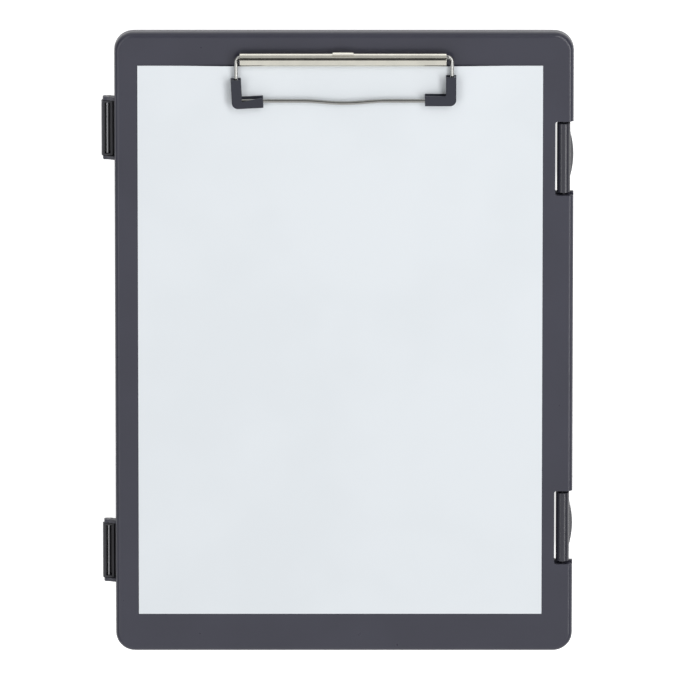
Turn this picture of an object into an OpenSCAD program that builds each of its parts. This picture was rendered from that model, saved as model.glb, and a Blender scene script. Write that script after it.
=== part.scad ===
// Storage clipboard box: a shallow tray with a hinged lid that is also a writing board.
// The lid swings on two side hinges, two barrel latches hold it shut along the other side,
// and a sprung wire clip on the board holds A4 sheets.
// Axes: +X towards the latches, +Y towards the clip, +Z up. Origin: centre of the tray's underside.

/* [Box] */
// Width of the lid, hinge side to latch side
box_w = 238; // [200:1:300]
// Length of the lid, foot to clip end
box_l = 335; // [300:1:420]
// Height of the tray, from the table to the parting line
tray_h = 23; // [20:0.5:28]
// Height of the lid, from the parting line to the writing face
lid_h = 7; // [6.5:0.5:20]
// Corner radius of the lid in plan
corner_r = 10; // [9:0.5:20]
// Wall thickness of both mouldings
wall = 2.2; // [1.6:0.1:2.6]
// Thickness of the writing face
lid_top_t = 2.4; // [1.8:0.1:3]
// Thickness of the tray's floor
floor_t = 2.2; // [1.6:0.1:4]
// Rounding of the lid's upper edge
lid_edge_r = 2.75; // [1:0.25:3]
// How far the tray's rim stands in from the lid's side
tray_inset = 1.2; // [0.8:0.1:1.6]
// Slope of the tray's sides from upright, in degrees
tray_draft = 14; // [2:1:15]
// Height of the lip on the tray that nests inside the lid
lip_h = 1.5; // [0.5:0.25:3]
// Play between that lip and the lid's wall
lip_gap = 0.3; // [0.2:0.05:0.5]
// Gap between lid and tray at the parting line
parting_gap = 0.1; // [0.05:0.05:0.3]

/* [Paper] */
// Width of the sheets
paper_w = 210; // [140:1:212]
// Length of the sheets
paper_l = 297; // [200:1:297]
// Thickness of the stack of sheets
paper_t = 0.4; // [0.1:0.1:0.4]
// Sideways offset of the stack from the middle of the board
paper_x = -2; // [-4:0.5:4]

/* [Clip] */
// Length of the clip's rolled sleeve
clip_len = 107; // [80:0.1:130]
// Outer radius of the rolled sleeve
roll_r = 3.7; // [3.4:0.1:4.5]
// Thickness of the clip's sheet metal
sheet_t = 0.7; // [0.5:0.1:0.8]
// How far the clip's base sits off the middle of the bail, which has that much sideways play
clip_x = -0.5; // [-0.6:0.1:0.6]
// Distance from the lid's edge to the axis of the roll
clip_setback = 13.1; // [9:0.1:20]
// Reach of the clip's base plate in front of the roll's axis
plate_reach = 31; // [26:0.5:40]
// Corner radius of the base plate
plate_r = 4; // [1:0.5:8]
// Width of the locking tongue at its root
tongue_w = 10; // [8:0.5:20]
// Width of the locking tongue at its tip
tongue_tip_w = 12.5; // [4:0.5:16]
// Radius of the spring wire
wire_r = 1; // [0.8:0.05:1.2]
// Distance from the bail's pivot to its bar
bail_reach = 23.6; // [22:0.1:30]
// Centre-line bend radius of the wire where it leaves the roll
wire_bend_r = 2.4; // [2:0.1:3.5]
// Centre-line bend radius of the wire at the bail's front corners
bail_corner_r = 3; // [2.5:0.1:4]
// Depth of the shallow bow in the middle of the bar
bar_dip = 1.15; // [0.5:0.05:2]
// Half length of that bow
bar_dip_half = 22; // [15:0.5:24]
// Distance between the ends of the spring wire inside the roll
wire_end_gap = 8; // [4:1:20]

/* [Clip sleeves] */
// Width of a corner sleeve's arms
sleeve_w = 5.3; // [4.6:0.1:6]
// Height of a corner sleeve
sleeve_h = 5; // [4.4:0.1:5.2]
// Wall of the sleeve outside the wire
sleeve_skin = 1.15; // [0.5:0.05:1.2]
// Length of the arm that runs along the bar
sleeve_bar_len = 16.2; // [10:0.1:18]
// Length of the arm that runs back to the pivot
sleeve_side_len = 15.4; // [10:0.1:18]
// Outer corner radius of a sleeve
sleeve_corner_r = 3.2; // [1:0.1:4]
// Width of the slit that lets a sleeve snap over the wire
sleeve_slit = 3.4; // [0.5:0.1:3.6]
// How far the left sleeve has slipped forward on the wire
left_sleeve_slip = 1.6; // [0:0.1:1.7]
// How far the left sleeve has turned on the wire, in degrees
left_sleeve_turn = 3; // [0:0.5:4]
// How far the left sleeve's slit gapes at its inner corner, where the wire spreads it
left_sleeve_gape = 1.7; // [0:0.1:2]

/* [Clip rivets] */
// Distance between the two rivets
rivet_pitch = 70; // [40:1:76]
// Distance from the roll's axis to the rivets
rivet_setback = 14; // [12:0.5:20]
// Radius of a rivet's shank
rivet_r = 2; // [1.5:0.1:2.5]
// Radius of a rivet's flat head
rivet_head_r = 3.5; // [3:0.1:4.5]
// Height of a rivet's flat head
rivet_head_h = 0.5; // [0.3:0.1:0.6]
// Radius of the upset end inside the lid
rivet_tail_r = 3; // [2.8:0.1:4]
// Height of the upset end inside the lid
rivet_tail_h = 0.8; // [0.5:0.1:1.2]
// Radius of the washer under the upset end
washer_r = 5; // [4:0.1:6]
// Thickness of that washer
washer_t = 0.6; // [0.4:0.1:1]

/* [Latches] */
// Distance from each end of the lid to the middle of the latch beside it
latch_setback = 67.5; // [60:0.5:100]
// Length of a latch's notch in lid and tray
notch_len = 39.8; // [30:0.1:60]
// Depth of the notch in from the lid's side
notch_depth = 9.5; // [9.2:0.1:12]
// How far the notch in the tray runs past the lid's at each end
tray_notch_run = 6; // [0:0.5:8]
// Plan radius of the notch's inner corners
notch_r = 1.2; // [0.5:0.1:2]
// Thickness of the wall at each end of a notch
notch_end_wall = 3.6; // [2.5:0.1:5]
// Play between a latch's ends and its notch
latch_end_gap = 1.35; // [0.4:0.05:2]
// Height of the ledges that close that play from below
ledge_h = 2; // [1:0.25:2.5]
// Play between a latch's ends and those ledges
ledge_gap = 0.3; // [0.2:0.05:0.4]
// Radius of a latch's barrel
barrel_r = 3.45; // [2.8:0.05:3.6]
// Distance from the lid's side to the barrel's axis
barrel_edge = 5.15; // [4.6:0.05:5.3]
// Depth of the barrel's top below the writing face
barrel_sink = 0.25; // [0.1:0.05:0.5]
// Thickness of a latch's plate
latch_plate_t = 2.15; // [1.6:0.05:2.4]
// Distance from the barrel's axis down to the plate's lower edge
latch_drop = 20.5; // [20:0.5:22]
// Radius of the pin through a barrel
latch_pin_r = 1; // [0.75:0.05:1.2]
// How deep that pin sits in the lid at each end
latch_pin_seat = 2.6; // [1.5:0.1:3]
// Running clearance between barrel and pin
latch_pin_gap = 0.06; // [0.03:0.01:0.1]
// Width of the catch bar across a tray notch
catch_w = 2.6; // [2:0.1:3]
// Height of the catch bar
catch_h = 3; // [2:0.1:3.5]
// How far the hook reaches under the catch bar
hook_grip = 1.2; // [0.6:0.1:1.5]
// Height of the hook
hook_h = 2.4; // [1.5:0.1:2.6]
// Play between the hook and the catch bar
hook_gap = 0.3; // [0.2:0.05:0.5]
// Play between a latch's plate and the catch bar
catch_gap = 0.5; // [0.4:0.05:0.8]
// Length of the thumb flare along the latch
flare_len = 23; // [15:0.5:30]
// How far the thumb flare stands out of the plate
flare_out = 1.7; // [0.8:0.1:2]
// Depth of the thumb flare's crest below the barrel's axis
flare_drop = 7.5; // [7:0.5:14]
// Half height of the thumb flare
flare_half_h = 4; // [3:0.5:5]

/* [Hinges] */
// Distance from each end of the lid to the middle of the hinge beside it
hinge_setback = 53; // [40:0.5:100]
// Length of a hinge over its two ears
hinge_len = 33.6; // [26:0.1:50]
// Thickness of an ear
ear_t = 1.8; // [1.2:0.1:3]
// Radius of an ear's round end
ear_r = 2.5; // [2:0.1:2.6]
// Radius of the tray's knuckle
knuckle_r = 3.2; // [2.6:0.1:3.3]
// Height of the knuckle's flat top above the hinge axis
knuckle_flat_h = 1.9; // [1.7:0.1:2.5]
// Half height of an ear
ear_half_h = 1.8; // [1.6:0.1:2]
// Play between the knuckle and each ear
knuckle_gap = 0.3; // [0.2:0.05:0.5]
// Distance of the hinge axis outside the lid's side
hinge_out = 3.6; // [3.5:0.1:5]
// Distance of the hinge axis below the parting line
hinge_drop = 2; // [1:0.1:3]
// Radius of a hinge pin
hinge_pin_r = 1; // [0.75:0.05:1.2]
// Running clearance between knuckle and pin
hinge_pin_gap = 0.06; // [0.03:0.01:0.1]
// Width of the slot in the knuckle's top
knuckle_slot_w = 3.1; // [1:0.1:3.4]
// Length of the slot in the knuckle's top
knuckle_slot_len = 27.5; // [10:0.5:27.5]
// Height of an ear's root on the lid's side
ear_root_h = 1.5; // [1.4:0.1:3]

/* [Hidden] */
$fn = 96;
// Overshoot of cutting tools past the faces that they cut
cut = 1;
// How far joined lumps of one moulding run into each other
weld = 0.6;
// Clearance that keeps resting neighbours apart
rest_gap = 0.1;

// Heights
z_lid = tray_h + parting_gap;
z_face = tray_h + lid_h;
z_lid_under = z_face - lid_top_t;

// Tray sides: size of the outside at the rim, and how far a side slopes in over a height h,
// kept to a hundredth of a millimetre
function draft_run(h) = round(h * tan(tray_draft) * 100) / 100;
tray_r = corner_r - tray_inset;
tray_w = box_w - 2 * tray_inset;
tray_l = box_l - 2 * tray_inset;
function tray_half_w(z) = tray_w / 2 - (tray_h - z) * tan(tray_draft);

// Lip on the tray's rim
lip_out = wall + lip_gap;
lip_in = tray_inset + wall;

// Latches
latch_y = box_l / 2 - latch_setback;
latch_x = box_w / 2 - barrel_edge;
latch_z = z_face - barrel_sink - barrel_r;
latch_len = notch_len - 2 * latch_end_gap;
notch_x = box_w / 2 - notch_depth;
tray_notch_len = notch_len + 2 * tray_notch_run;
// Length of lip left out at each latch
lip_break = tray_notch_len + 2 * notch_end_wall + 2 * lip_gap;
plate_in_x = barrel_r - latch_plate_t;
catch_x1 = plate_in_x - catch_gap;
catch_x0 = catch_x1 - catch_w;
hook_x0 = catch_x1 - hook_grip;
hook_z0 = -latch_drop + 1.2;
hook_z1 = hook_z0 + hook_h;
catch_z0 = hook_z1 + hook_gap;
flare_r = (flare_len * flare_len / 4 + flare_out * flare_out) / (2 * flare_out);

// Hinges
hinge_y = box_l / 2 - hinge_setback;
hinge_x = -box_w / 2 - hinge_out;
hinge_z = tray_h - hinge_drop;
knuckle_len = hinge_len - 2 * (ear_t + knuckle_gap);

// Clip
roll_y = box_l / 2 - clip_setback;
roll_z = z_face + roll_r;
roll_bore_r = roll_r - sheet_t;
plate_z = z_face + sheet_t;
paper_z = plate_z + rivet_head_h + rest_gap;
pivot_z = paper_z + paper_t + rest_gap + sleeve_h / 2;
pivot_y = roll_y + sqrt(pow(roll_bore_r - wire_r - 0.3, 2) - pow(pivot_z - roll_z, 2));
bar_y = pivot_y - bail_reach;
arm_x = clip_len / 2 + wire_bend_r;
rivet_y = roll_y - rivet_setback;
// Angles, from the roll's back over its top, at which the rolled sheet and the tongue end
roll_end_a = 215;
tongue_end_a = 47;

// Sleeve: the wire's distance from the sleeve's outer faces
wire_inset = sleeve_skin + wire_r;

// Paper
paper_y1 = roll_y - roll_r - 0.5;
paper_ramp = 12;

module at_latches(which) {
    translate([latch_x, which * latch_y, latch_z]) children();
}

module at_hinges(which) {
    translate([hinge_x, which * hinge_y, hinge_z]) children();
}

// Rod of radius r and length len along Y, centred on the origin
module y_rod(r, len) {
    rotate([90, 0, 0]) cylinder(r = r, h = len, center = true);
}

// Prism along Y, centred on the origin, from an outline drawn in X and Z
module y_prism(len) {
    rotate([90, 0, 0]) translate([0, 0, -len / 2]) linear_extrude(len) children();
}

// Prism along X, centred on the origin, from an outline drawn in Y and Z
module x_prism(len) {
    rotate([90, 0, 90]) translate([0, 0, -len / 2]) linear_extrude(len) children();
}

// Half outline of a slab's edge: reach r at its foot, height h, upper edge rounded by f
module edge_outline(r, h, f) {
    square([r, h - f]);
    square([r - f, h]);
    translate([r - f, h - f]) circle(f);
}

// Slab w by l by h with corners of radius r in plan and its upper edge rounded by f
module rounded_slab(w, l, h, r, f) {
    for (sx = [-1, 1], sy = [-1, 1])
        translate([sx * (w / 2 - r), sy * (l / 2 - r), 0])
            rotate_extrude() edge_outline(r, h, f);
    x_prism(w - 2 * r) slab_section(l / 2, h, f);
    y_prism(l - 2 * r) slab_section(w / 2, h, f);
}

module slab_section(half, h, f) {
    edge_outline(half, h, f);
    mirror([1, 0]) edge_outline(half, h, f);
}

// Slab with straight sloping sides: w by l with corner radius r on top, each side in by run below
module sloped_slab(w, l, h, r, run) {
    for (sx = [-1, 1], sy = [-1, 1])
        translate([sx * (w / 2 - r), sy * (l / 2 - r), 0])
            cylinder(r1 = r - run, r2 = r, h = h);
    x_prism(w - 2 * r) trapezium(l / 2 - run, l / 2, h);
    y_prism(l - 2 * r) trapezium(w / 2 - run, w / 2, h);
}

module trapezium(foot, top, h) {
    polygon([[-foot, 0], [foot, 0], [top, h], [-top, h]]);
}

// Notch of length len for one latch, cut through from z0 to z1
module latch_notch(which, len, z0, z1) {
    translate([notch_x, which * latch_y, z0]) linear_extrude(z1 - z0) {
        translate([notch_r, -len / 2]) square([notch_depth, len]);
        translate([0, -len / 2 + notch_r]) square([notch_depth, len - 2 * notch_r]);
        for (s = [-1, 1]) translate([notch_r, s * (len / 2 - notch_r)]) circle(notch_r);
    }
}

// Block that such a notch is cut out of, so that its walls close the inside
module notch_block(which, len, z0, z1) {
    translate([notch_x - wall, which * latch_y - len / 2 - notch_end_wall, z0])
        cube([notch_depth + wall, len + 2 * notch_end_wall, z1 - z0]);
}

// Low ledges at the two ends of a notch in the lid, beside the latch's ends
module notch_ledges(which) {
    run = latch_end_gap - ledge_gap + weld;
    for (s = [-1, 1])
        translate([notch_x - weld, which * latch_y + s * (notch_len + 2 * weld - run) / 2 - run / 2, z_lid])
            cube([notch_depth + weld, run, ledge_h]);
}

// Ring that stands on the tray's rim and nests inside the lid
module tray_lip() {
    difference() {
        translate([0, 0, tray_h - weld])
            rounded_slab(box_w - 2 * lip_out, box_l - 2 * lip_out, lip_h + weld, corner_r - lip_out, 0.3);
        translate([0, 0, tray_h - cut])
            rounded_slab(box_w - 2 * lip_in, box_l - 2 * lip_in, lip_h + 2 * cut, corner_r - lip_in, 0.3);
        for (s = [-1, 1])
            translate([notch_x - wall - lip_gap, s * latch_y - lip_break / 2, tray_h - cut])
                cube([notch_depth + wall + cut, lip_break, lip_h + 2 * cut]);
    }
}

// Knuckle with its web down to the tray's side, in the hinge's own frame
module knuckle() {
    web_top = 0.6;
    web_foot = -knuckle_r - 3;
    web_x0 = -hinge_x - tray_half_w(hinge_z + web_top) + wall / 2;
    web_x1 = -hinge_x - tray_half_w(hinge_z + web_foot) + wall / 2;
    slot_floor = -0.5;
    difference() {
        union() {
            y_rod(knuckle_r, knuckle_len);
            y_prism(knuckle_len) polygon([
                [0, -knuckle_r], [0, web_top], [web_x0, web_top], [web_x1, web_foot]
            ]);
        }
        y_rod(hinge_pin_r + hinge_pin_gap, knuckle_len + 2 * cut);
        translate([-knuckle_slot_w / 2, -knuckle_slot_len / 2, slot_floor])
            cube([knuckle_slot_w, knuckle_slot_len, knuckle_r + cut]);
        translate([-knuckle_r - cut, -knuckle_len / 2 - cut, knuckle_flat_h])
            cube([2 * (knuckle_r + cut), knuckle_len + 2 * cut, knuckle_r]);
    }
}

// The two ears of one hinge, in the hinge's own frame
module ears() {
    root_z = z_lid - hinge_z;
    root_foot = -1;
    difference() {
        for (s = [-1, 1]) translate([0, s * (hinge_len - ear_t) / 2, 0]) y_prism(ear_t) {
            intersection() {
                circle(ear_r);
                translate([-ear_r, -ear_half_h]) square([2 * ear_r, 2 * ear_half_h]);
            }
            polygon([
                [0, -ear_half_h], [hinge_out, root_foot], [hinge_out, root_z], [hinge_out + weld, root_z],
                [hinge_out + weld, root_z + ear_root_h], [0, ear_half_h]
            ]);
        }
        y_rod(hinge_pin_r, hinge_len + 2 * cut);
    }
}

module tray() {
    color([0.20, 0.20, 0.23]) {
        difference() {
            sloped_slab(tray_w, tray_l, tray_h, tray_r, draft_run(tray_h));
            difference() {
                translate([0, 0, floor_t])
                    sloped_slab(tray_w - 2 * wall, tray_l - 2 * wall, tray_h - floor_t + cut,
                        tray_r - wall, draft_run(tray_h - floor_t));
                for (s = [-1, 1]) notch_block(s, tray_notch_len, 0, tray_h + 2 * cut);
            }
            for (s = [-1, 1]) latch_notch(s, tray_notch_len, -cut, tray_h + cut);
        }
        tray_lip();
        for (s = [-1, 1]) {
            at_latches(s) translate([catch_x0, -tray_notch_len / 2 - weld, catch_z0])
                cube([catch_w, tray_notch_len + 2 * weld, catch_h]);
            at_hinges(s) knuckle();
        }
    }
}

module lid() {
    color([0.27, 0.27, 0.31]) {
        difference() {
            translate([0, 0, z_lid])
                rounded_slab(box_w, box_l, lid_h - parting_gap, corner_r, lid_edge_r);
            difference() {
                translate([0, 0, z_lid - cut])
                    rounded_slab(box_w - 2 * wall, box_l - 2 * wall, z_lid_under - z_lid + cut,
                        corner_r - wall, 0.8);
                for (s = [-1, 1]) notch_block(s, notch_len, z_lid - 2 * cut, z_face);
            }
            for (s = [-1, 1]) {
                latch_notch(s, notch_len, z_lid - cut, z_face + cut);
                at_latches(s) y_rod(latch_pin_r, notch_len + 2 * latch_pin_seat);
                translate([clip_x + s * rivet_pitch / 2, rivet_y, z_lid])
                    cylinder(r = rivet_r, h = lid_h + cut);
            }
        }
        for (s = [-1, 1]) {
            at_hinges(s) ears();
            notch_ledges(s);
        }
    }
}

module hinge_pin(which) {
    color([0.70, 0.70, 0.72]) at_hinges(which) y_rod(hinge_pin_r, hinge_len);
}

// One latch: barrel, plate, hook under the catch bar and a thumb flare on the outside
module latch(which) {
    color([0.30, 0.30, 0.33]) at_latches(which) difference() {
        union() {
            y_rod(barrel_r, latch_len);
            y_prism(latch_len) {
                translate([plate_in_x, -latch_drop]) square([latch_plate_t, latch_drop]);
                translate([hook_x0, hook_z0]) square([plate_in_x - hook_x0 + weld, hook_h]);
            }
            intersection() {
                translate([barrel_r + flare_out - flare_r, 0, -flare_drop - flare_half_h])
                    cylinder(r = flare_r, h = 2 * flare_half_h, $fn = 180);
                y_prism(latch_len) translate([0, -flare_drop]) polygon([
                    [barrel_r - weld, -flare_half_h], [barrel_r, -flare_half_h],
                    [barrel_r + flare_out, -flare_half_h / 3], [barrel_r + flare_out, flare_half_h / 3],
                    [barrel_r, flare_half_h], [barrel_r - weld, flare_half_h]
                ]);
            }
        }
        y_rod(latch_pin_r + latch_pin_gap, latch_len + 2 * cut);
    }
}

module latch_pin(which) {
    color([0.70, 0.70, 0.72]) at_latches(which)
        y_rod(latch_pin_r, notch_len + 2 * latch_pin_seat);
}

// Outline of the clip's base plate, rounded at its two front corners
module plate_outline() {
    front = roll_y - plate_reach;
    translate([-clip_len / 2, front + plate_r]) square([clip_len, plate_reach - plate_r]);
    translate([-clip_len / 2 + plate_r, front]) square([clip_len - 2 * plate_r, plate_reach]);
    for (s = [-1, 1]) translate([s * (clip_len / 2 - plate_r), front + plate_r]) circle(plate_r);
}

// Ring sector between radii r0 and r1, from angle a0 to a1 about the roll's axis, along X
module roll_sector(r0, r1, a0, a1, len) {
    translate([-len / 2, roll_y, roll_z]) rotate([90, 0, 90]) rotate([0, 0, a0])
        rotate_extrude(angle = a1 - a0) translate([r0, 0]) square([r1 - r0, len]);
}

// Base plate, rolled sleeve and the tongue that locks the roll shut from behind
module clip_base() {
    color([0.78, 0.77, 0.73]) translate([clip_x, 0, 0]) {
        difference() {
            translate([0, 0, z_face]) linear_extrude(sheet_t) plate_outline();
            for (s = [-1, 1]) translate([s * rivet_pitch / 2, rivet_y, z_face - cut])
                cylinder(r = rivet_r, h = sheet_t + 2 * cut);
        }
        roll_sector(roll_bore_r, roll_r, -90, roll_end_a, clip_len);
        intersection() {
            roll_sector(roll_r, roll_r + sheet_t, -60, tongue_end_a, max(tongue_w, tongue_tip_w));
            translate([0, 0, z_face]) tongue_taper();
        }
    }
}

// Prism along Y that widens the tongue from its root to its tip
module tongue_taper() {
    top = 2 * roll_r + 2 * sheet_t;
    translate([0, roll_y, 0]) y_prism(4 * roll_r) polygon([
        [-tongue_w / 2, 0], [tongue_w / 2, 0], [tongue_w / 2, roll_r],
        [tongue_tip_w / 2, top], [-tongue_tip_w / 2, top], [-tongue_w / 2, roll_r]
    ]);
}

// Straight stretch of wire along X
module wire_x(x0, x1, r) {
    translate([x0, 0, 0]) rotate([0, 90, 0]) cylinder(r = r, h = x1 - x0);
}

// Bent stretch of wire: an arc of centre-line radius bend from angle a0 to a1
module wire_arc(bend, a0, a1, r) {
    rotate([0, 0, a0]) rotate_extrude(angle = a1 - a0) translate([bend, 0]) circle(r);
}

// Right half of the bail in its own flat frame: pivot along X at y = 0, bar at y = -bail_reach
module half_bail(r) {
    dip_a = atan(bar_dip / bar_dip_half);
    wire_x(wire_end_gap / 2, clip_len / 2, r);
    translate([clip_len / 2, -wire_bend_r, 0]) wire_arc(wire_bend_r, 0, 90, r);
    translate([arm_x, -(wire_bend_r + bail_reach - bail_corner_r) / 2, 0])
        y_rod(r, bail_reach - wire_bend_r - bail_corner_r);
    translate([arm_x - bail_corner_r, -bail_reach + bail_corner_r, 0])
        wire_arc(bail_corner_r, -90, 0, r);
    translate([0, -bail_reach, 0]) wire_x(bar_dip_half, arm_x - bail_corner_r, r);
    translate([bar_dip_half, -bail_reach, 0]) sphere(r);
    translate([0, -bail_reach - bar_dip, 0]) rotate([0, 0, dip_a])
        wire_x(0, bar_dip_half / cos(dip_a), r);
}

module bail_wire(r) {
    half_bail(r);
    mirror([1, 0, 0]) half_bail(r);
    translate([0, -bail_reach - bar_dip, 0]) sphere(r);
}

module clip_bail() {
    color([0.76, 0.75, 0.72]) translate([0, pivot_y, pivot_z]) bail_wire(wire_r);
}

// Right-hand corner sleeve in the bail's flat frame, slit along its inner sides
module corner_sleeve() {
    x1 = arm_x + wire_inset;
    y0 = -bail_reach - wire_inset;
    difference() {
        translate([0, 0, -sleeve_h / 2]) linear_extrude(sleeve_h) difference() {
            union() {
                translate([x1 - sleeve_bar_len, y0]) square([sleeve_bar_len, sleeve_w]);
                translate([x1 - sleeve_w, y0]) square([sleeve_w, sleeve_side_len]);
            }
            difference() {
                translate([x1 - sleeve_corner_r, y0 - cut])
                    square([sleeve_corner_r + cut, sleeve_corner_r + cut]);
                translate([x1 - sleeve_corner_r, y0 + sleeve_corner_r]) circle(sleeve_corner_r);
            }
        }
        half_bail(wire_r);
        translate([x1 - sleeve_bar_len - cut, -bail_reach, -sleeve_slit / 2])
            cube([sleeve_bar_len + cut - wire_inset - bail_corner_r, sleeve_w, sleeve_slit]);
        translate([x1 - sleeve_w - cut, -bail_reach + bail_corner_r, -sleeve_slit / 2])
            cube([sleeve_w + cut - wire_inset, sleeve_side_len, sleeve_slit]);
    }
}

// Wedge that opens the top of a sleeve along its slit, widest at the inner corner
module sleeve_gape() {
    corner_x = arm_x + wire_inset - sleeve_w;
    mouth_y = -bail_reach - wire_inset + sleeve_w;
    end_x = corner_x + sleeve_w - sleeve_bar_len;
    linear_extrude(sleeve_h) polygon([
        [corner_x, mouth_y + cut], [corner_x, mouth_y - left_sleeve_gape], [end_x, mouth_y],
        [end_x, mouth_y + cut]
    ]);
}

module corner_sleeve_right() {
    color([0.25, 0.25, 0.28]) translate([0, pivot_y, pivot_z]) corner_sleeve();
}

// The left sleeve has slipped and turned a little, and is spread by the wire where it sits
module corner_sleeve_left() {
    color([0.25, 0.25, 0.28]) translate([0, pivot_y, pivot_z]) difference() {
        translate([-arm_x, -bail_reach - left_sleeve_slip, 0]) rotate([0, 0, left_sleeve_turn])
            translate([arm_x, bail_reach, 0]) mirror([1, 0, 0]) difference() {
                corner_sleeve();
                sleeve_gape();
            }
        bail_wire(wire_r);
    }
}

module clip_rivets() {
    tail_z = z_lid_under - washer_t - rivet_tail_h;
    color([0.72, 0.72, 0.70]) for (s = [-1, 1]) translate([clip_x + s * rivet_pitch / 2, rivet_y, 0]) {
        translate([0, 0, tail_z]) cylinder(r = rivet_r, h = plate_z - tail_z + rivet_head_h);
        translate([0, 0, plate_z]) cylinder(r = rivet_head_r, h = rivet_head_h);
        translate([0, 0, tail_z]) cylinder(r = rivet_tail_r, h = rivet_tail_h);
    }
}

module rivet_washers() {
    color([0.66, 0.66, 0.66]) for (s = [-1, 1])
        translate([clip_x + s * rivet_pitch / 2, rivet_y, z_lid_under - washer_t]) difference() {
            cylinder(r = washer_r, h = washer_t);
            translate([0, 0, -cut]) cylinder(r = rivet_r, h = washer_t + 2 * cut);
        }
}

// The sheets lie on the board and step up over the clip's base plate and rivets
module paper_sheets() {
    y_foot = paper_y1 - paper_l;
    y_plate = roll_y - plate_reach - 1;
    color([0.93, 0.94, 0.95]) translate([paper_x, 0, 0]) x_prism(paper_w) polygon([
        [y_foot, z_face], [y_plate - paper_ramp, z_face], [y_plate, paper_z], [paper_y1, paper_z],
        [paper_y1, paper_z + paper_t], [y_plate, paper_z + paper_t],
        [y_plate - paper_ramp, z_face + paper_t], [y_foot, z_face + paper_t]
    ]);
}

tray();
lid();
hinge_pin(1);  // hinge_pin_upper
hinge_pin(-1);  // hinge_pin_lower
latch(1);  // latch_upper
latch(-1);  // latch_lower
latch_pin(1);  // latch_pin_upper
latch_pin(-1);  // latch_pin_lower
clip_base();
clip_bail();
corner_sleeve_left();
corner_sleeve_right();
clip_rivets();
rivet_washers();
paper_sheets();
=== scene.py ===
import math
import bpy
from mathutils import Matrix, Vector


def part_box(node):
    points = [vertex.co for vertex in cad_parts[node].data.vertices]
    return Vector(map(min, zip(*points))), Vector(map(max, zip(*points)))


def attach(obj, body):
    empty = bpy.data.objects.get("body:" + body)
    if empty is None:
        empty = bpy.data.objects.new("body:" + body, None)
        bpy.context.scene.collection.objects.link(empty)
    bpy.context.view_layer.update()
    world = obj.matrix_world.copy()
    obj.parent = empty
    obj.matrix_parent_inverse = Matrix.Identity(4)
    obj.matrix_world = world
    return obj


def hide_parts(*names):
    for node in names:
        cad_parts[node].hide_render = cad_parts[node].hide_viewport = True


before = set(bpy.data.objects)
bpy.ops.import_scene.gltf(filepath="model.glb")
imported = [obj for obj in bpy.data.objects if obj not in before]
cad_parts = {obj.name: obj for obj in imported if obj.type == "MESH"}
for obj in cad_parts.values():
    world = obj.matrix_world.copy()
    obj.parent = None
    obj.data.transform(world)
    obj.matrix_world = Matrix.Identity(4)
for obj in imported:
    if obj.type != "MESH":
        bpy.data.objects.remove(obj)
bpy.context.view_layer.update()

import bpy
from mathutils import Vector

mm = 0.001

# ---------------------------------------------------------------------------------------------
# Tray. The lower half of the box, one injection moulding in black-grey ABS with a fine spark
# texture. Its knuckles and catch bars are moulded on, and every edge has the small radius that
# the mould leaves.
# ---------------------------------------------------------------------------------------------


class Value:
    """A socket in a finish's node tree: plain sums on it add the matching maths nodes."""

    def __init__(self, tree, socket):
        self.tree = tree
        self.socket = socket

    def node(self, kind, settings, sockets, output=0):
        made = self.tree.nodes.new(kind)
        for key, setting in settings.items():
            setattr(made, key, setting)
        for key, given in sockets.items():
            if isinstance(given, Value):
                self.tree.links.new(given.socket, made.inputs[key])
            else:
                made.inputs[key].default_value = given
        return Value(self.tree, made.outputs[output])

    def maths(self, operation, first, second=0.0):
        return self.node("ShaderNodeMath", {"operation": operation}, {0: first, 1: second})

    def __add__(self, other):
        return self.maths("ADD", self, other)

    def __radd__(self, other):
        return self.maths("ADD", other, self)

    def __sub__(self, other):
        return self.maths("SUBTRACT", self, other)

    def __rsub__(self, other):
        return self.maths("SUBTRACT", other, self)

    def __mul__(self, other):
        return self.maths("MULTIPLY", self, other)

    def __rmul__(self, other):
        return self.maths("MULTIPLY", other, self)

    def magnitude(self):
        return self.maths("ABSOLUTE", self)

    def between(self, low, high):
        """0 below low, 1 above high, and a smooth rise between them."""
        sockets = {"Value": self, "From Min": low, "From Max": high}
        return self.node("ShaderNodeMapRange", {"interpolation_type": "SMOOTHSTEP"}, sockets)

    def tint(self, dark, light):
        """The colour dark where this is 0 and light where it is 1."""
        sockets = {0: self, 6: (*dark, 1.0), 7: (*light, 1.0)}
        return self.node("ShaderNodeMix", {"data_type": "RGBA"}, sockets, 2)

    def noise(self, size, detail=2.0, stretch=(1.0, 1.0, 1.0)):
        """Noise whose lumps are about size metres across, with stretch squeezing it per axis."""
        place = self.node("ShaderNodeMapping", {}, {"Vector": self, "Scale": stretch})
        sockets = {"Vector": place, "Scale": 1.0 / size, "Detail": detail}
        return self.node("ShaderNodeTexNoise", {}, sockets)


def new_finish(name):
    """An empty material, its shader node and its Object coordinates."""
    material = bpy.data.materials.new(name)
    material.use_nodes = True
    tree = material.node_tree
    shader = tree.nodes["Principled BSDF"]
    coords = tree.nodes.new("ShaderNodeTexCoord")
    return material, shader, Value(tree, coords.outputs["Object"])


def feed(shader, socket, value):
    """Links a value to one of the shader's sockets."""
    value.tree.links.new(value.socket, shader.inputs[socket])


def relief(shader, height, strength, depth):
    """Lets height stand up from the surface by at most depth metres."""
    sockets = {"Strength": strength, "Distance": depth, "Height": height}
    feed(shader, "Normal", height.node("ShaderNodeBump", {}, sockets))


def mottled(mask, colour, darkest, lightest):
    """The colour, darkest times as bright where mask is 0 and lightest times where it is 1."""
    low, high = (tuple(channel * share for channel in colour) for share in (darkest, lightest))
    return mask.tint(low, high)


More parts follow.
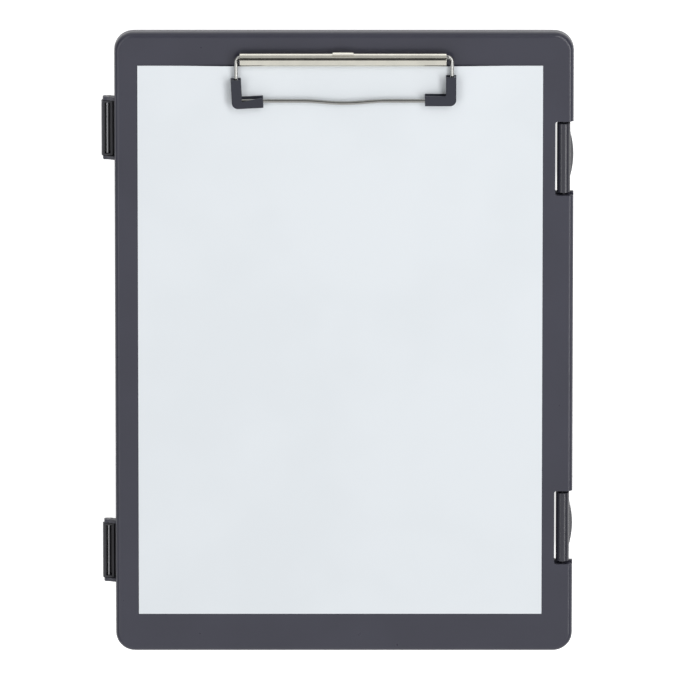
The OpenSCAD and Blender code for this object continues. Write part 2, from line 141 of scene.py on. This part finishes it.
def moulded_plastic(name, colour, roughness, grain):
    """Satin ABS: cloudy colour, slightly uneven gloss and a fine spark-eroded grain."""
    material, shader, place = new_finish(name)
    cloud = place.noise(34 * mm, 3.0)
    gloss = place.noise(6 * mm)
    spark = place.noise(0.7 * mm)
    feed(shader, "Base Color", mottled(cloud.between(0.3, 0.7), colour, 0.95, 1.05))
    feed(shader, "Roughness", gloss * 0.10 + (roughness - 0.05))
    relief(shader, spark, grain, 0.04 * mm)
    shader.inputs["IOR"].default_value = 1.5
    return material


def softened(node, name, radius, body, angle=35.0, segments=2):
    """A piece with a CAD node's outline, its edges sharper than angle degrees rounded to radius."""
    same_point = 0.002 * mm
    same_plane = math.radians(0.4)
    crease = math.radians(48.0)
    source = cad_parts[node]
    piece = source.copy()
    piece.data = source.data.copy()
    piece.data.materials.clear()
    piece.name = name
    piece.parent = None
    piece.matrix_world = source.matrix_world
    bpy.context.scene.collection.objects.link(piece)
    bpy.ops.object.select_all(action="DESELECT")
    piece.select_set(True)
    bpy.context.view_layer.objects.active = piece
    bpy.ops.object.mode_set(mode="EDIT")
    bpy.ops.mesh.select_all(action="SELECT")
    bpy.ops.mesh.remove_doubles(threshold=same_point)
    bpy.ops.mesh.dissolve_limited(angle_limit=same_plane)
    bpy.ops.object.mode_set(mode="OBJECT")
    edge = piece.modifiers.new("edge", "BEVEL")
    edge.width = radius
    edge.segments = segments
    edge.limit_method = "ANGLE"
    edge.angle_limit = math.radians(angle)
    bpy.ops.object.modifier_apply(modifier="edge")
    bpy.ops.object.shade_smooth_by_angle(angle=crease)
    flats = piece.modifiers.new("flats", "WEIGHTED_NORMAL")
    flats.keep_sharp = True
    bpy.ops.object.modifier_apply(modifier="flats")
    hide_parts(node)
    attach(piece, body)
    return piece


tray = softened("tray", "tray_shell", 0.35 * mm, "tray")
tray.data.materials.append(moulded_plastic("tray_abs", (0.026, 0.026, 0.033), 0.40, 0.25))

# ---------------------------------------------------------------------------------------------
# Lid. The upper half, moulded in the same ABS: its flat face is the writing board. Its ears take
# the hinge pins, and two notches in its right side take the latches.
# ---------------------------------------------------------------------------------------------

lid = softened("lid", "lid_board", 0.5 * mm, "lid")
lid.data.materials.append(moulded_plastic("lid_abs", (0.038, 0.0385, 0.057), 0.30, 0.25))

# ---------------------------------------------------------------------------------------------
# Pins. Drawn steel wire: two of bright steel through the hinges, pressed into the lid's ears, and
# two through the latch barrels, seated in the ends of their notches. Both colours are painted
# shade: the hinge pins' steel is dimmed for the slots they lie in, and the latch pins' steel is
# near black for the gaps at the barrel ends.
# ---------------------------------------------------------------------------------------------


def drawn_steel(name, colour, roughness):
    """Bare steel wire with faint draw marks along Y."""
    material, shader, place = new_finish(name)
    marks = place.noise(0.4 * mm, stretch=(1.0, 0.02, 1.0))
    feed(shader, "Base Color", mottled(marks, colour, 0.85, 1.0))
    feed(shader, "Roughness", marks * 0.15 + (roughness - 0.07))
    shader.inputs["Metallic"].default_value = 1.0
    return material


# Both steels are darker than bare steel: painted shade, dim in the hinge slots and near black in
# the latch gaps.
pin_steel = {
    "hinge": drawn_steel("hinge_steel_painted_dim", (0.24, 0.24, 0.25), 0.24),
    "latch": drawn_steel("latch_steel_painted_black", (0.05, 0.05, 0.055), 0.35),
}
for joint, steel in pin_steel.items():
    for side in ("upper", "lower"):
        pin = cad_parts[f"{joint}_pin_{side}"]
        pin.data.materials.clear()
        pin.data.materials.append(steel)

# ---------------------------------------------------------------------------------------------
# Latches. Two alike, moulded in a glossier plastic: a barrel that turns on its pin, a plate that
# hangs from it with a hook at its foot, and a crescent on the outside for the thumb.
# ---------------------------------------------------------------------------------------------

latch_plastic = moulded_plastic("latch_acetal", (0.030, 0.030, 0.041), 0.22, 0.08)
for side in ("upper", "lower"):
    node = f"latch_{side}"
    latch = softened(node, f"{node}_body", 0.5 * mm, node, angle=25.0, segments=3)
    latch.data.materials.append(latch_plastic)

# ---------------------------------------------------------------------------------------------
# Clip base. One piece of nickel-plated sheet steel: a flat plate under the paper, rolled into a
# sleeve at its back edge, with a tongue that wraps the roll from behind and locks it.
# ---------------------------------------------------------------------------------------------


def bright_nickel(name, colour, streaks):
    """Nickel plate, faintly warm, with polishing marks along X and a slightly uneven gloss."""
    material, shader, place = new_finish(name)
    marks = place.noise(0.5 * mm, 3.0, (streaks, 1.0, 1.0))
    haze = place.noise(12 * mm)
    feed(shader, "Base Color", mottled(haze.between(0.3, 0.7), colour, 0.94, 1.03))
    feed(shader, "Roughness", marks * 0.08 + haze * 0.06 + 0.06)
    relief(shader, marks, 0.15, 0.02 * mm)
    shader.inputs["Metallic"].default_value = 1.0
    return material


clip_base = softened("clip_base", "clip_plate_and_roll", 0.12 * mm, "lid")
clip_base.data.materials.append(bright_nickel("nickel_sheet", (0.76, 0.74, 0.66), 0.04))

# ---------------------------------------------------------------------------------------------
# Rivets and washers. Two flat-headed steel rivets hold the clip's plate to the board. They are
# upset against washers inside the lid.
# ---------------------------------------------------------------------------------------------

rivet_steel = drawn_steel("rivet_steel", (0.62, 0.62, 0.60), 0.30)
for node in ("clip_rivets", "rivet_washers"):
    part = softened(node, f"{node}_edged", 0.15 * mm, "lid")
    part.data.materials.append(rivet_steel)

# ---------------------------------------------------------------------------------------------
# Bail. One length of nickel-plated spring wire: out of the roll's ends, forward along both
# sides and across the paper, with a shallow bow in the middle of the bar.
# ---------------------------------------------------------------------------------------------

wire_low, wire_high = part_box("clip_bail")
wire_r = (wire_high.z - wire_low.z) / 2
arm_x = wire_high.x - wire_r
pivot_y = wire_high.y - wire_r
pivot_z = (wire_low.z + wire_high.z) / 2
roll_end = (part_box("clip_base")[1].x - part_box("clip_base")[0].x) / 2
# Each half of the bow is an arc, a straight slope and the same arc turned back.
bow_depth = 1.15 * mm
bow_reach = 22 * mm
bow_angle = 1.5 * math.atan(bow_depth / bow_reach)
bow_r = (bow_reach * math.tan(bow_angle) - bow_depth) / (2 / math.cos(bow_angle) - 2)
bow_run = bow_r * math.sin(bow_angle)
bow_bottom = wire_low.y + wire_r
bar_y = bow_bottom + bow_depth
front_bend = 3 * mm
back_bend = arm_x - roll_end
wire_end_x = 4 * mm
bow_steps = 6
bend_steps = 14
quarter_turn = math.radians(90)

bpy.ops.object.select_all(action="DESELECT")
bpy.ops.mesh.primitive_circle_add(
    vertices=28, radius=wire_r, location=(0, bow_bottom, pivot_z), rotation=(0, quarter_turn, 0))
bail = bpy.context.object
bail.name = "bail_wire"
bpy.ops.object.transform_apply(location=True, rotation=True, scale=True)
bpy.ops.object.mode_set(mode="EDIT")
bpy.ops.mesh.select_all(action="SELECT")


def bend_wire(centre_x, centre_y, turn, steps):
    """Spins the wire's end round an upright axis, turn radians to the left as seen from above."""
    centre = (centre_x, centre_y, pivot_z)
    bpy.ops.mesh.spin(steps=steps, angle=-turn, center=centre, axis=(0, 0, 1))


def draw_wire(run_x, run_y):
    """Draws the wire's end out straight."""
    bpy.ops.mesh.extrude_region_move(TRANSFORM_OT_translate={"value": (run_x, run_y, 0)})


flank = bow_reach - 2 * bow_run
bend_wire(0, bow_bottom + bow_r, bow_angle, bow_steps)
draw_wire(flank, flank * math.tan(bow_angle))
bend_wire(bow_reach, bar_y - bow_r, -bow_angle, bow_steps)
draw_wire(arm_x - front_bend - bow_reach, 0)
bend_wire(arm_x - front_bend, bar_y + front_bend, quarter_turn, bend_steps)
draw_wire(0, pivot_y - back_bend - bar_y - front_bend)
bend_wire(arm_x - back_bend, pivot_y - back_bend, quarter_turn, bend_steps)
draw_wire(wire_end_x - roll_end, 0)
bpy.ops.mesh.edge_face_add()
bpy.ops.object.mode_set(mode="OBJECT")
other_half = bail.modifiers.new("other_half", "MIRROR")
other_half.use_clip = True
bpy.ops.object.modifier_apply(modifier="other_half")
bpy.ops.object.mode_set(mode="EDIT")
bpy.ops.mesh.select_all(action="SELECT")
bpy.ops.mesh.remove_doubles(threshold=0.01 * mm)
bpy.ops.mesh.normals_make_consistent(inside=False)
bpy.ops.object.mode_set(mode="OBJECT")
bpy.ops.object.shade_smooth_by_angle(angle=math.radians(40.0))
# The wire's nickel is given about half the sheet's brightness: a painted shade standing in for the
# dark surroundings that the wire reflects.
bail.data.materials.append(bright_nickel("nickel_wire_painted_dark", (0.42, 0.418, 0.402), 0.2))
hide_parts("clip_bail")
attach(bail, "bail")

# ---------------------------------------------------------------------------------------------
# Corner sleeves. Soft PVC channels that snap over the wire's front corners, so that the wire
# doesn't mark the paper. The left one has slipped a little.
# ---------------------------------------------------------------------------------------------

sleeve_vinyl = moulded_plastic("sleeve_vinyl", (0.017, 0.019, 0.032), 0.40, 0.30)
for side in ("left", "right"):
    node = f"corner_sleeve_{side}"
    sleeve = softened(
        node, f"sleeve_{side}", 0.35 * mm, "bail", angle=40.0, segments=3)
    sleeve.data.materials.append(sleeve_vinyl)

# ---------------------------------------------------------------------------------------------
# Paper. A few A4 sheets, held at the top between roll and bail. They rise softly over the
# clip's plate and lie on the board everywhere else.
# ---------------------------------------------------------------------------------------------

paper_low, paper_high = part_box("paper_sheets")
paper_middle = (paper_low + paper_high) / 2
paper_size = paper_high - paper_low
board_z = paper_low.z
stack_t = 0.3 * mm
paper_rise = paper_size.z - stack_t - 0.04 * mm
plate_front_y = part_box("clip_base")[0].y
ramp = 15 * mm
plate_half = roll_end + 2 * mm
side_ramp = 34 * mm
side_sag = 0.86
curl = 0.10 * mm
ripple_height = 0.05 * mm


def ease(share):
    """0 up to share 0, 1 from share 1 on, and a smooth rise between them."""
    share = min(max(share, 0.0), 1.0)
    return share * share * (3 - 2 * share)


bpy.ops.object.select_all(action="DESELECT")
bpy.ops.mesh.primitive_grid_add(
    x_subdivisions=84, y_subdivisions=118, size=1.0,
    location=(paper_middle.x, paper_middle.y, board_z))
paper = bpy.context.object
paper.name = "paper_stack"
paper.scale = (paper_size.x, paper_size.y, 1.0)
bpy.ops.object.transform_apply(location=True, rotation=True, scale=True)
for vertex in paper.data.vertices:
    x, y, _ = vertex.co
    up_ramp = ease((y - plate_front_y + ramp) / ramp)
    beside_plate = ease((abs(x) - plate_half) / side_ramp)
    lift = paper_rise * up_ramp * (1 - side_sag * beside_plate)
    across = (x - paper_middle.x) / paper_size.x
    along = (y - paper_middle.y) / paper_size.y
    ripple = ripple_height * math.sin(5.1 * along + 1.3) * math.sin(3.7 * across + 0.4)
    vertex.co.z += lift + (curl + ripple) * (1 - up_ramp)
thickness = paper.modifiers.new("thickness", "SOLIDIFY")
thickness.thickness = stack_t
thickness.offset = 1.0
bpy.ops.object.modifier_apply(modifier="thickness")
bpy.ops.object.shade_smooth_by_angle(angle=math.radians(30.0))

paper_white, shader, place = new_finish("paper_white")
fibres = place.noise(1.2 * mm, 4.0)
cloud = place.noise(60 * mm).between(0.35, 0.65)
feed(shader, "Base Color", cloud.tint((0.748, 0.787, 0.820), (0.767, 0.806, 0.840)))
relief(shader, fibres, 0.12, 0.03 * mm)
shader.inputs["Roughness"].default_value = 0.92
shader.inputs["IOR"].default_value = 1.3
paper.data.materials.append(paper_white)
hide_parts("paper_sheets")
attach(paper, "lid")

# ---------------------------------------------------------------------------------------------
# Studio. A white table, a pale room with a dark strip overhead where the camera hangs, and two
# long softboxes that run along the box, the strong one over the latches.
# ---------------------------------------------------------------------------------------------

table_size = 9.0
table_gap = 0.2 * mm
bpy.ops.object.select_all(action="DESELECT")
bpy.ops.mesh.primitive_plane_add(size=table_size, location=(0, 0, -table_gap))
table = bpy.context.object
table.name = "table_top"
table_white = bpy.data.materials.new("table_white")
table_white.use_nodes = True
table_shader = table_white.node_tree.nodes["Principled BSDF"]
table_shader.inputs["Base Color"].default_value = (0.82, 0.82, 0.82, 1.0)
table_shader.inputs["Roughness"].default_value = 0.9
table_shader.inputs["Specular IOR Level"].default_value = 0.0
table_shader.inputs["Emission Color"].default_value = (1.0, 1.0, 1.0, 1.0)
ray = table_white.node_tree.nodes.new("ShaderNodeLightPath")
seen = Value(table_white.node_tree, ray.outputs["Is Camera Ray"])
mirrored = Value(table_white.node_tree, ray.outputs["Is Glossy Ray"])
through = Value(table_white.node_tree, ray.outputs["Is Transmission Ray"])
table_glow = 0.75
mirrored_share = 0.5
feed(table_shader, "Emission Strength", (seen + (mirrored + through) * mirrored_share) * table_glow)
table.data.materials.append(table_white)

room = bpy.data.worlds.new("pale_room")
bpy.context.scene.world = room
room.use_nodes = True
room_tree = room.node_tree
room_light = room_tree.nodes["Background"]
strip_tilt = math.radians(22.0)
strip_core = 0.28
strip_edge = 0.42
direction = Value(room_tree, room_tree.nodes.new("ShaderNodeTexCoord").outputs["Generated"])
across, along, upward = (
    direction.node("ShaderNodeSeparateXYZ", {}, {"Vector": direction}, axis) for axis in "XYZ")
tilt = direction.maths("ARCTAN2", along, upward)
off_strip = (tilt - strip_tilt).magnitude().between(strip_core, strip_edge)
toward_clip = tilt.between(math.radians(15.0), math.radians(30.0))
sideways = across.magnitude().between(0.45, 0.8)
room_glow = off_strip * (0.85 - toward_clip * 0.35) * (1.0 - sideways * 0.75)
room_shade = room_glow.tint((0.04, 0.04, 0.04), (1.0, 1.0, 1.0))
room_tree.links.new(room_shade.socket, room_light.inputs["Color"])
room_light.inputs["Strength"].default_value = 1.0

softbox_length = 3.0
softbox_width = 0.7
softboxes = (("key_softbox", (1.2, 0.5, 1.9), 33.0), ("fill_softbox", (-1.2, 0.5, 1.9), 14.0))
for name, place, power in softboxes:
    lamp_data = bpy.data.lights.new(name, "AREA")
    lamp_data.shape = "RECTANGLE"
    lamp_data.size = softbox_length
    lamp_data.size_y = softbox_width
    lamp_data.energy = power
    lamp = bpy.data.objects.new(name, lamp_data)
    lamp.location = place
    lamp.rotation_euler = (-lamp.location).to_track_quat("-Z", "Y").to_euler()
    bpy.context.scene.collection.objects.link(lamp)

# ---------------------------------------------------------------------------------------------
# Camera. It hangs over the clip's end with a long lens, tilted a little off the upright.
# ---------------------------------------------------------------------------------------------

face_z = 30 * mm
camera_tilt = math.radians(16.5)
camera_distance = 10.0
frame_width = 353.4 * mm
frame_shift_x = -2.1 * mm
frame_shift_up = 2.0 * mm
image_up = Vector((0, math.cos(camera_tilt), -math.sin(camera_tilt)))
toward_camera = Vector((0, math.sin(camera_tilt), math.cos(camera_tilt)))
aim = Vector((frame_shift_x, 0, face_z)) + frame_shift_up * image_up
camera_data = bpy.data.cameras.new("camera")
camera_data.sensor_width = 36.0
camera_data.lens = camera_data.sensor_width * camera_distance / frame_width
camera_data.clip_end = 60.0
camera = bpy.data.objects.new("camera", camera_data)
camera.location = aim + camera_distance * toward_camera
camera.rotation_euler = (-camera_tilt, 0, 0)
bpy.context.scene.collection.objects.link(camera)
bpy.context.scene.camera = camera
bpy.context.scene.view_settings.view_transform = "Standard"
